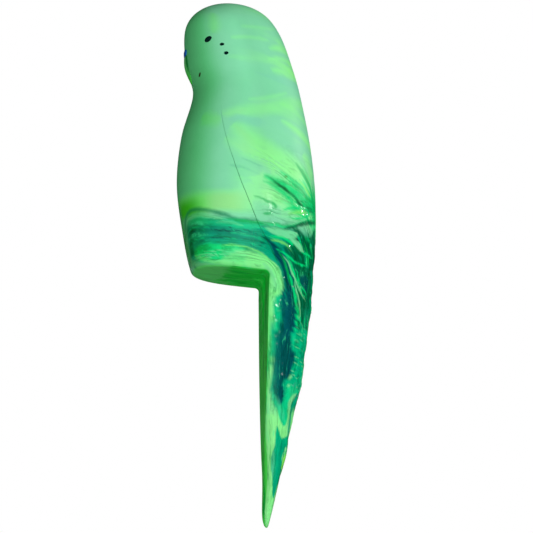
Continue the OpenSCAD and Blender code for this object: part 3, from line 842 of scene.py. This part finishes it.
class Shell:
    """Points, faces, corner normals and paint of one piece of the skin's grid."""

    def __init__(self, grid, normals, paint):
        self.grid, self.normals, self.paint = grid, normals, paint
        self.points, self.point_normals, self.sources = [], [], []
        self.skin, self.hidden = [], []
        self.ids = np.full(grid.shape[:2], -1)

    def add(self, points, normals, sources):
        """Adds points and gives their numbers; sources are the grid cells that lend them paint."""
        first = sum(len(p) for p in self.points)
        self.points.append(points)
        self.point_normals.append(normals)
        self.sources.append(sources)
        return np.arange(first, first + len(points))

    def add_grid(self, mask):
        """Adds the grid's points under a mask, and the faces that have all four corners there."""
        self.ids[mask] = self.add(self.grid[mask], self.normals[mask], np.argwhere(mask))
        beside = np.roll(mask, -1, axis=1)
        i, j = np.nonzero(mask[:-1] & mask[1:] & beside[:-1] & beside[1:])
        k = (j + 1) % self.grid.shape[1]
        ids = self.ids
        self.skin.append(np.stack([ids[i, j], ids[i + 1, j], ids[i + 1, k], ids[i, k]], axis=1))

    def meet_groove(self, top, tip, side, part):
        """Puts the points along a wing's edge into the groove: part 0 is the body, 1 the wing."""
        column = SEAM if side > 0 else FAR_SEAM
        points, normals = edge_of_groove(self.grid, self.normals, column, side)[part]
        chosen = self.ids[top:tip + 1, column]
        self.points[0][chosen] = points[top:tip + 1]
        self.point_normals[0][chosen] = normals[top:tip + 1]

    def cap(self, row, point, normal, under):
        """Closes the grid to a point beyond its first or last row."""
        tip = self.add(np.array([point]), np.array([normal]), np.array([[row, 0]]))[0]
        ring = self.ids[row]
        after = np.roll(ring, -1)
        order = [np.full_like(ring, tip), ring, after] if under else [ring, np.full_like(ring, tip), after]
        self.skin.append(np.stack(order, axis=1))

    def add_floor(self, rows, columns, depth, inside):
        """Hidden surface under the grid; faces outwards for a recess and inwards for a wing."""
        r, c = np.meshgrid(rows, columns, indexing="ij")
        points = self.grid[r, c] - self.normals[r, c] * depth
        cells = np.stack([r.ravel(), c.ravel()], axis=1)
        ids = self.add(points.reshape(-1, 3), self.normals[r, c].reshape(-1, 3), cells)
        ids = ids.reshape(r.shape)
        for i in range(len(rows) - 1):
            for j in range(len(columns) - 1):
                face = [ids[i, j], ids[i + 1, j], ids[i + 1, j + 1], ids[i, j + 1]]
                self.hidden.append(face[::-1] if inside else face)
        return ids

    def add_wall(self, outer, inner, picks, flip):
        """Wall from a row of skin points to a row of hidden ones, a face to each pick."""
        for k in range(len(picks) - 1):
            face = list(outer[picks[k]:picks[k + 1] + 1]) + [inner[k + 1], inner[k]]
            self.hidden.append(face[::-1] if flip else face)

    def build(self, name):
        """The mesh object, with paint, flow and finish as attributes of its points."""
        points = np.vstack(self.points)
        normals = np.vstack(self.point_normals)
        sources = np.vstack(self.sources)
        skin = [list(map(int, f)) for block in self.skin for f in block]
        hidden = [list(map(int, f)) for f in self.hidden]
        mesh = bpy.data.meshes.new(name)
        mesh.from_pydata((points * MM).tolist(), [], skin + hidden)
        mesh.polygons.foreach_set("use_smooth", [True] * len(skin) + [False] * len(hidden))
        for key, values in self.paint.items():
            store(mesh, key, values[sources[:, 0], sources[:, 1]])
        corners = [normals[v] for f in skin for v in f] + [(0, 0, 0)] * sum(map(len, hidden))
        mesh.normals_split_custom_set([tuple(map(float, v)) for v in corners])
        return placed(name, mesh)


def placed(name, data):
    """A new object in the scene with the given mesh, camera or light."""
    made = bpy.data.objects.new(name, data)
    bpy.context.scene.collection.objects.link(made)
    return made


def store(mesh, key, values):
    """Writes a point attribute: a colour where there are three numbers, else one number."""
    if values.ndim == 2:
        layer = mesh.attributes.new(key, "FLOAT_COLOR", "POINT")
        rgba = np.hstack([values, np.ones((len(values), 1))])
        layer.data.foreach_set("color", rgba.ravel())
    else:
        mesh.attributes.new(key, "FLOAT", "POINT").data.foreach_set("value", values)


def painted_skin():
    """Grid, normals and paint of the whole skin, and the rows of the wings' top and tip."""
    plain = full_grid()
    canvas, streak, gloss = marble(plain)
    g = plain + grid_normals(plain) * canvas.height[..., None]
    g[..., 2] = np.clip(g[..., 2], SECTIONS[-1, 0], None)
    z = g[:, MIDDLE, 2]
    top, tip = (int(np.argmin(np.abs(z - height))) for height in (WING_TOP, WING_TIP))
    in_groove = np.ix_(range(top, tip + 1), [SEAM, FAR_SEAM])
    share = GROOVE_PAINT * faded_groove(z[top:tip + 1])[:, None, None]
    canvas.colour[in_groove] += share * (GROOVE_GREEN - canvas.colour[in_groove])
    paint = {"paint": canvas.colour, "flow": canvas.flow, "streak": streak, "gloss": gloss}
    return (g, grid_normals(g), paint), top, tip


def make_body(skin, top, tip):
    """The body: the whole skin, with a recess where the wings are."""
    body = Shell(*skin)
    outside = np.ones(body.ids.shape, bool)
    outside[top + 1:tip, SEAM + 1:FAR_SEAM] = False
    body.add_grid(outside)
    body.cap(0, [0, SECTIONS[0, 1], SECTIONS[0, 0]], (0, 0, 1), True)
    body.cap(len(outside) - 1, [0, SECTIONS[-1, 1], SECTIONS[-1, 0]], (0, 0, -1), False)
    rows, columns = picked(top, tip), picked(SEAM, FAR_SEAM)
    floor = body.add_floor(rows, columns, RECESS_DEPTH, False)
    for side in (1, -1):
        body.meet_groove(top, tip, side, 0)
    add_walls(body, floor, rows, columns, True)
    return body.build("body_skin")


def make_wing(skin, top, tip, side, name):
    """A wing: its part of the skin, closed by a hidden surface inside the recess."""
    wing = Shell(*skin)
    first, last = (SEAM, MIDDLE) if side > 0 else (MIDDLE, FAR_SEAM)
    panel = np.zeros(wing.ids.shape, bool)
    panel[top:tip + 1, first:last + 1] = True
    wing.add_grid(panel)
    wing.meet_groove(top, tip, side, 1)
    rows, columns = picked(top, tip), picked(first, last)
    inner = wing.add_floor(inset(rows), inset(columns), WING_THICK, True)
    add_walls(wing, inner, rows, columns, False)
    return wing.build(name)


def make_skins():
    """Body and wings, cut from one skin so that the marbling runs on across their joints."""
    skin, top, tip = painted_skin()
    left = make_wing(skin, top, tip, 1, "wing_left_skin")
    right = make_wing(skin, top, tip, -1, "wing_right_skin")
    return make_body(skin, top, tip), left, right


def add_walls(shell, inner, rows, columns, flip):
    """The four walls between the skin's edge and the hidden surface."""
    ids = shell.ids
    row_picks, column_picks = rows - rows[0], columns - columns[0]
    top = ids[rows[0], columns[0]:columns[-1] + 1]
    tip = ids[rows[-1], columns[0]:columns[-1] + 1]
    near = ids[rows[0]:rows[-1] + 1, columns[0]]
    far = ids[rows[0]:rows[-1] + 1, columns[-1]]
    shell.add_wall(top, inner[0], column_picks, flip)
    shell.add_wall(tip, inner[-1], column_picks, not flip)
    shell.add_wall(near, inner[:, 0], row_picks, not flip)
    shell.add_wall(far, inner[:, -1], row_picks, flip)


# ---------------------------------------------------------------- face

BEAK_TOP, BEAK_TIP, BEAK_HALF = 84.6, 74.0, 3.1
CERE_Z, CERE_HALF_W, CERE_HALF_H = 85.9, 3.6, 1.5
BEAK_SUNK, CERE_SUNK, DOME_SUNK = 1.4, 1.2, 0.7      # depths of their hidden backs


def skin_point(turn, z):
    """Point and outward normal of the plain skin."""
    h = 1e-3
    p = ellipse(z, turn)
    along = ellipse(z, turn + h) - ellipse(z, turn - h)
    down = ellipse(z - h, turn) - ellipse(z + h, turn)
    n = np.cross(down, along)
    return p, n / np.linalg.norm(n, axis=-1, keepdims=True)


def face_point(x, z):
    """Point and normal of the plain skin of the face at a sideways place and a height."""
    _, _, width = section(z)
    return skin_point(np.arcsin(np.clip(x / width, -1, 1)), z)


def closed_mesh(rings, near_end, far_end):
    """Points and faces of a closed shape over rings of points, with a point at either end."""
    points = [near_end] + [p for ring in rings for p in ring] + [far_end]
    n = len(rings[0])
    faces = [(0, 1 + k, 1 + (k + 1) % n) for k in range(n)]
    for i in range(len(rings) - 1):
        for k in range(n):
            a, b = 1 + i * n + k, 1 + i * n + (k + 1) % n
            faces.append((a, a + n, b + n, b))
    last = len(points) - 1
    faces += [(last, last - n + (k + 1) % n, last - n + k) for k in range(n)]
    return [tuple(map(float, p)) for p in points], faces


def join_meshes(name, parts):
    """One smooth object from several closed lists of points and faces, in millimetres."""
    points, faces = [], []
    for part_points, part_faces in parts:
        base = len(points)
        points += [tuple(v * MM for v in p) for p in part_points]
        faces += [tuple(base + v for v in f) for f in part_faces]
    mesh = bpy.data.meshes.new(name)
    mesh.from_pydata(points, [], faces)
    mesh.polygons.foreach_set("use_smooth", [True] * len(faces))
    mesh.update()
    return placed(name, mesh)


def dome(turn, z, half_long, half_short, tilt, proud):
    """Closed oval dome on the skin; tilt turns its long side up from level, in degrees."""
    spin = math.radians(tilt)
    p0, n0 = skin_point(np.radians(turn), z)
    level = np.array([-n0[1], n0[0], 0]) / math.hypot(n0[0], n0[1])
    rise = np.cross(n0, level)
    long_way = level * math.cos(spin) + rise * math.sin(spin)
    short_way = np.cross(n0, long_way)
    profile = [(0.3, 1.0), (0.6, 0.8), (0.85, 0.48), (0.97, 0.15), (1.0, -0.2), (0.97, -0.7)]
    rings = []
    for reach, lift in profile:
        ring = []
        for a in np.linspace(0, 2 * math.pi, 40, endpoint=False):
            flat = (long_way * half_long * math.cos(a) + short_way * half_short * math.sin(a)) * reach
            sag = flat @ flat / 40                  # the skin falls away with a radius near 20 mm
            ring.append(p0 + flat + n0 * (proud * lift - sag))
        rings.append(ring)
    return closed_mesh(rings, p0 + n0 * proud * 1.08, p0 - n0 * DOME_SUNK)


def mirrored(part):
    """The same closed shape on the bird's other side."""
    points, faces = part
    return [(-x, y, z) for x, y, z in points], [f[::-1] for f in faces]


# Domes of the left side: turn, height, half length, half width, tilt and how proud they stand
DOMES = {
    "eye": [(51, 86.8, 1.62, 1.15, 25, 0.3)],
    "cheek_spots": [(66, 84.2, 0.88, 0.62, 0, 0.12), (68.5, 80.6, 0.94, 0.66, -4, 0.12)],
    "throat_spot": [(27, 74.5, 1.1, 0.5, 50, 0.08)],
}


def make_eyes_and_spots():
    """Oval eyes, two spots on each cheek and one at each side of the throat."""
    made = {}
    for kind, domes in DOMES.items():
        parts = [dome(*values) for values in domes]
        made[kind + "_left"] = join_meshes(kind + "_left_dome", parts)
        made[kind + "_right"] = join_meshes(kind + "_right_dome", [mirrored(p) for p in parts])
    return made


def beak_half(u):
    """Half width of the beak at a share of its height from the top."""
    return BEAK_HALF * (1 + 0.12 * math.sin(math.pi * min(u * 1.6, 1))) * math.sqrt(max(1 - u ** 2.3, 0))


def make_beak():
    """Hooked beak: a round ridge down the middle that steps in to the face at its sides."""
    rings = []
    steps = 36
    for i in range(1, steps):
        u = i / steps
        z = BEAK_TOP + (BEAK_TIP - BEAK_TOP) * u
        half = max(beak_half(u), 0.05)
        proud = 0.25 + 0.45 * math.sin(math.pi * min(u + 0.05, 1)) ** 0.8
        ring = []
        for a in np.linspace(-1, 1, 25):
            x = half * math.sin(a * math.pi / 2)
            p, n = face_point(x, z)
            lift = proud * math.cos(a * math.pi / 2) ** 0.75 - 0.45 * abs(a) ** 6
            ridge = 0.18 * math.exp(-(x / 0.7) ** 2)
            ring.append(p + n * (lift + ridge))
        for a in np.linspace(1, -1, 9)[1:-1]:
            p, n = face_point(half * 0.9 * a, z)
            ring.append(p - n * BEAK_SUNK)
        rings.append(ring)
    top, top_n = face_point(0, BEAK_TOP)
    tip, tip_n = face_point(0, BEAK_TIP)
    return join_meshes("beak_hook", [closed_mesh(rings, top - top_n * 0.3, tip - tip_n * 0.2)])


def make_cere():
    """Swollen blue band over the beak: two lobes with a nostril in each."""
    rings = []
    centre, normal = face_point(0, CERE_Z)
    for reach in np.concatenate([np.linspace(0.08, 0.96, 18), [1.0]]):
        ring = []
        for a in np.linspace(0, 2 * math.pi, 64, endpoint=False):
            x = CERE_HALF_W * reach * math.cos(a)
            notch = 1 - 0.16 * math.cos(a + math.pi / 2) ** 8
            z = CERE_Z + CERE_HALF_H * reach * math.sin(a) * notch
            p, n = face_point(x, z)
            swell = 0.62 * math.sqrt(max(1 - reach ** 2.6, 0)) - 0.12
            split = 0.16 * math.exp(-(x / 0.35) ** 2)
            nostril = 0.34 * math.exp(-((abs(x) - 1.15) ** 2 + (z - CERE_Z - 0.25) ** 2) / 0.09)
            ring.append(p + n * (swell - (split + nostril) * (1 - reach ** 4)))
        rings.append(ring[::-1])
    shape = closed_mesh(rings, centre + normal * 0.36, centre - normal * CERE_SUNK)
    return join_meshes("cere_band", [shape])


# ---------------------------------------------------------------- materials

class Material:
    """Node material with short calls for the nodes that these surfaces share."""

    def __init__(self, name, roughness, specular=0.5):
        self.material = bpy.data.materials.new(name)
        self.material.use_nodes = True
        self.tree = self.material.node_tree
        self.surface = self.tree.nodes["Principled BSDF"]
        self.surface.inputs["Roughness"].default_value = roughness
        self.surface.inputs["Specular IOR Level"].default_value = specular

    def node(self, kind, **values):
        made = self.tree.nodes.new(kind)
        for key, value in values.items():
            setattr(made, key, value)
        return made

    def link(self, source, target):
        self.tree.links.new(source, target)

    def put(self, value, target):
        """Links a socket, or sets a number or colour."""
        if isinstance(value, bpy.types.NodeSocket):
            self.link(value, target)
        else:
            target.default_value = value

    def attribute(self, name):
        made = self.node("ShaderNodeAttribute", attribute_name=name)
        return made.outputs["Color" if name == "paint" else "Fac"]

    def place(self):
        """The three coordinates in metres, apart."""
        where = self.node("ShaderNodeTexCoord").outputs["Object"]
        apart = self.node("ShaderNodeSeparateXYZ")
        self.link(where, apart.inputs[0])
        return where, apart.outputs

    def math(self, operation, a, b=0.0, c=0.0):
        made = self.node("ShaderNodeMath", operation=operation)
        for value, socket in zip((a, b, c), made.inputs):
            self.put(value, socket)
        return made.outputs[0]

    def times(self, a, b):
        return self.math("MULTIPLY", a, b)

    def noise(self, vector, scale, detail=3.0, rough=0.55):
        made = self.node("ShaderNodeTexNoise")
        self.put(vector, made.inputs["Vector"])
        made.inputs["Scale"].default_value = scale
        made.inputs["Detail"].default_value = detail
        made.inputs["Roughness"].default_value = rough
        return made.outputs["Fac"]

    def span(self, value, low, high, to_low=0.0, to_high=1.0):
        """Smooth step of a value between two limits."""
        made = self.node("ShaderNodeMapRange", interpolation_type="SMOOTHSTEP")
        for socket, number in zip(made.inputs, (value, low, high, to_low, to_high)):
            self.put(number, socket)
        return made.outputs[0]

    def mix(self, factor, a, b, blend="MIX"):
        made = self.node("ShaderNodeMix", data_type="RGBA", blend_type=blend)
        self.put(factor, made.inputs["Factor"])
        for value, socket in ((a, made.inputs[6]), (b, made.inputs[7])):
            self.put(value if isinstance(value, bpy.types.NodeSocket) else (*value, 1.0), socket)
        return made.outputs[2]

    def bump(self, height, strength, distance):
        made = self.node("ShaderNodeBump")
        made.inputs["Strength"].default_value = strength
        made.inputs["Distance"].default_value = distance
        self.link(height, made.inputs["Height"])
        self.link(made.outputs["Normal"], self.surface.inputs["Normal"])

    def colour(self, socket):
        self.link(socket, self.surface.inputs["Base Color"])

    def rough(self, socket):
        self.link(socket, self.surface.inputs["Roughness"])


def marbled_material(name):
    """Poured green paint: fine streaks along the flow, satin above and wet-looking on the rump."""
    m = Material(name, 0.4, 0.35)
    where, (x, y, z) = m.place()
    flow, streak, gloss = m.attribute("flow"), m.attribute("streak"), m.attribute("gloss")
    across = m.node("ShaderNodeCombineXYZ")
    m.put(m.times(flow, 1.15), across.inputs[0])
    m.put(m.times(z, 130.0), across.inputs[1])
    m.put(m.times(m.math("ADD", x, y), 110.0), across.inputs[2])
    fine = m.noise(across.outputs[0], 1.0, 5.0, 0.66)
    broad = m.noise(across.outputs[0], 0.42, 2.0)
    dark = m.times(m.span(fine, 0.52, 0.34), streak)
    pale = m.times(m.span(fine, 0.56, 0.74), streak)
    deep = m.times(m.span(broad, 0.5, 0.36), streak)
    colour = m.mix(m.times(dark, 0.62), m.attribute("paint"), srgb(0, 165, 130), "MULTIPLY")
    colour = m.mix(m.times(deep, 0.22), colour, srgb(30, 150, 120), "MULTIPLY")
    colour = m.mix(m.times(pale, 0.6), colour, srgb(60, 244, 156))
    cloud = m.noise(where, 90.0, 3.0)
    colour = m.mix(m.span(cloud, 0.3, 0.7, 0.0, 0.12), colour, srgb(120, 225, 165), "MULTIPLY")
    m.colour(colour)
    mottle = m.noise(where, 700.0, 2.0)
    wet = m.math("MULTIPLY_ADD", gloss, -0.41, 0.46)
    m.rough(m.math("MULTIPLY_ADD", mottle, 0.04, wet))
    ripple = m.times(m.math("ADD", broad, m.noise(where, 480.0, 1.0)), gloss)
    height = m.math("MULTIPLY_ADD", mottle, 0.05, ripple)
    m.bump(height, 0.35, 0.0004)
    return m.material


def spot_material(name, colour, tint, roughness):
    """Gloss paint of the eyes and spots, a little uneven in depth."""
    m = Material(name, roughness)
    where, _ = m.place()
    m.colour(m.mix(m.span(m.noise(where, 900.0), 0.35, 0.7), colour, tint))
    m.rough(m.span(m.noise(where, 2500.0), 0.3, 0.7, roughness, roughness + 0.1))
    m.bump(m.noise(where, 1500.0), 0.15, 0.0001)
    return m.material


def beak_material():
    """Olive green that turns darker to the tip, with painted shade down its sides and fine growth lines
    down it.
    """
    m = Material("beak_marbled_green", 0.38)
    _, (x, _, z) = m.place()
    lengthwise = m.node("ShaderNodeCombineXYZ")
    m.put(m.times(x, 1400.0), lengthwise.inputs[0])
    m.put(m.times(z, 200.0), lengthwise.inputs[2])
    grain = m.noise(lengthwise.outputs[0], 1.0)
    height = m.span(z, BEAK_TIP * MM, (BEAK_TOP - 2) * MM)
    colour = m.mix(height, srgb(60, 210, 60), srgb(110, 225, 130))
    # painted shade: the beak's sides, where it steps in to the face, are mixed to a dark green
    side = m.span(m.math("ABSOLUTE", x), 1.6 * MM, 3.0 * MM)
    colour = m.mix(side, colour, srgb(10, 130, 50))
    m.colour(m.mix(m.span(grain, 0.45, 0.7, 0.0, 0.3), colour, srgb(60, 180, 90), "MULTIPLY"))
    m.rough(m.span(grain, 0.3, 0.7, 0.34, 0.46))
    m.bump(grain, 0.25, 0.0002)
    return m.material


def cere_material():
    """Blue paint in blotches of two blues, with the slight unevenness of a brushed coat."""
    m = Material("cere_blue_paint", 0.35)
    where, _ = m.place()
    blotch = m.noise(where, 800.0)
    m.colour(m.mix(m.span(blotch, 0.35, 0.65), srgb(0, 80, 170), srgb(20, 110, 200)))
    m.rough(m.span(blotch, 0.3, 0.7, 0.3, 0.42))
    m.bump(m.noise(where, 1600.0), 0.2, 0.0001)
    return m.material


def floor_material():
    """Nearly white and even: a dim grey that also glows."""
    m = Material("pale_floor", 0.7)
    where, _ = m.place()
    m.colour(m.mix(m.noise(where, 6.0), (0.14, 0.14, 0.14), (0.16, 0.16, 0.16)))
    m.surface.inputs["Emission Color"].default_value = (1, 1, 1, 1)
    m.surface.inputs["Emission Strength"].default_value = 0.82
    return m.material


# ---------------------------------------------------------------- camera and light

TARGET = Vector((0.0, 0.73, 5.38)) * MM
VIEW_TURN, VIEW_RISE, VIEW_ROLL = 83.0, -15.0, 4.5       # degrees: from the front, up, and tilt
VIEW_DISTANCE, LENS = 0.45, 81.7
FLOOR_Z, FLOOR_HALF = -0.125, 3.0       # metres
ROOM_LIGHT = 0.16                       # strength of the room, which the camera sees as 1


def direction(turn, rise):
    """Unit vector to a turn from the front towards the bird's left, and a rise, in degrees."""
    a, b = math.radians(turn), math.radians(rise)
    return Vector((math.sin(a) * math.cos(b), -math.cos(a) * math.cos(b), math.sin(b)))


def make_camera():
    """Camera level with the tail that looks up at the bird's left side."""
    camera = placed("camera", bpy.data.cameras.new("camera"))
    camera.data.lens = LENS
    camera.data.clip_start = 0.01
    back = direction(VIEW_TURN, VIEW_RISE)
    camera.location = TARGET + back * VIEW_DISTANCE
    turned = back.to_track_quat("Z", "Y").to_matrix()
    roll = Matrix.Rotation(math.radians(VIEW_ROLL), 3, "Z")
    camera.rotation_euler = (turned @ roll).to_euler()
    bpy.context.scene.camera = camera


def area_light(name, turn, rise, distance, size, watts, mirrored_in_gloss):
    """Square light that faces the bird."""
    light = bpy.data.lights.new(name, "AREA")
    light.size = size
    light.energy = watts
    lamp = placed(name, light)
    towards = direction(turn, rise)
    lamp.location = TARGET + towards * distance
    lamp.rotation_euler = towards.to_track_quat("Z", "Y").to_euler()
    lamp.visible_glossy = mirrored_in_gloss
    lamp.visible_camera = False


# Name, turn, rise (degrees), distance, size (m), watts, and whether the gloss paint mirrors it
LIGHTS = [
    ("key", 142, 12, 0.9, 0.6, 3.3, False),
    ("side", 84, -14, 1.0, 0.6, 4.6, False),
    ("below", 60, -50, 0.9, 0.6, 1.3, False),
    ("glint_high", 180, 30, 0.6, 0.03, 0.7, True),
    ("glint_side", 112, 8, 0.7, 0.03, 0.35, True),
    ("fill_right", -80, 5, 0.9, 0.6, 2.6, False),
]


def make_lights():
    """Big soft lights round the bird, and two small ones that glint in the gloss."""
    for light in LIGHTS:
        area_light(*light)


def make_room():
    """White room that lights the bird weakly and isn't mirrored in it."""
    world = bpy.data.worlds.new("studio")
    bpy.context.scene.world = world
    world.use_nodes = True
    world.cycles_visibility.glossy = False
    nodes, links = world.node_tree.nodes, world.node_tree.links
    seen = nodes.new("ShaderNodeLightPath").outputs["Is Camera Ray"]
    strength = nodes.new("ShaderNodeMapRange")
    strength.inputs["To Min"].default_value = ROOM_LIGHT
    strength.inputs["To Max"].default_value = 1.0
    links.new(seen, strength.inputs["Value"])
    links.new(strength.outputs[0], nodes["Background"].inputs["Strength"])
    nodes["Background"].inputs["Color"].default_value = (1, 1, 1, 1)


def make_floor():
    """Pale plain floor under the tail's tip; it gives and takes no light."""
    mesh = bpy.data.meshes.new("floor")
    corners = [(x * FLOOR_HALF, y * FLOOR_HALF, FLOOR_Z) for x, y in ((-1, -1), (1, -1), (1, 1), (-1, 1))]
    mesh.from_pydata(corners, [], [(0, 1, 2, 3)])
    mesh.materials.append(floor_material())
    floor = placed("floor", mesh)
    floor.visible_diffuse = False
    floor.visible_glossy = False
    floor.visible_shadow = False


# ---------------------------------------------------------------- the whole scene

def attach(piece, node, material):
    """Gives a piece its material and puts it in the place of a CAD node."""
    piece.data.materials.append(material)
    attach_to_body(piece, "root")
    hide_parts(node)


def main():
    make_camera()
    make_lights()
    make_room()
    make_floor()
    body, wing_left, wing_right = make_skins()
    attach(body, "body", marbled_material("body_marbled_green"))
    wing_paint = marbled_material("wing_marbled_green")
    attach(wing_left, "wing_left", wing_paint)
    attach(wing_right, "wing_right", wing_paint)
    attach(make_beak(), "beak", beak_material())
    attach(make_cere(), "cere", cere_material())
    black = spot_material("spot_black_gloss", srgb(2, 30, 28), srgb(6, 44, 40), 0.16)
    olive = spot_material("throat_olive_gloss", srgb(36, 44, 18), srgb(58, 62, 26), 0.3)
    for node, piece in make_eyes_and_spots().items():
        throat = node.startswith("throat")
        attach(piece, node, olive if throat else black)
    bpy.context.scene.view_settings.view_transform = "Standard"


main()
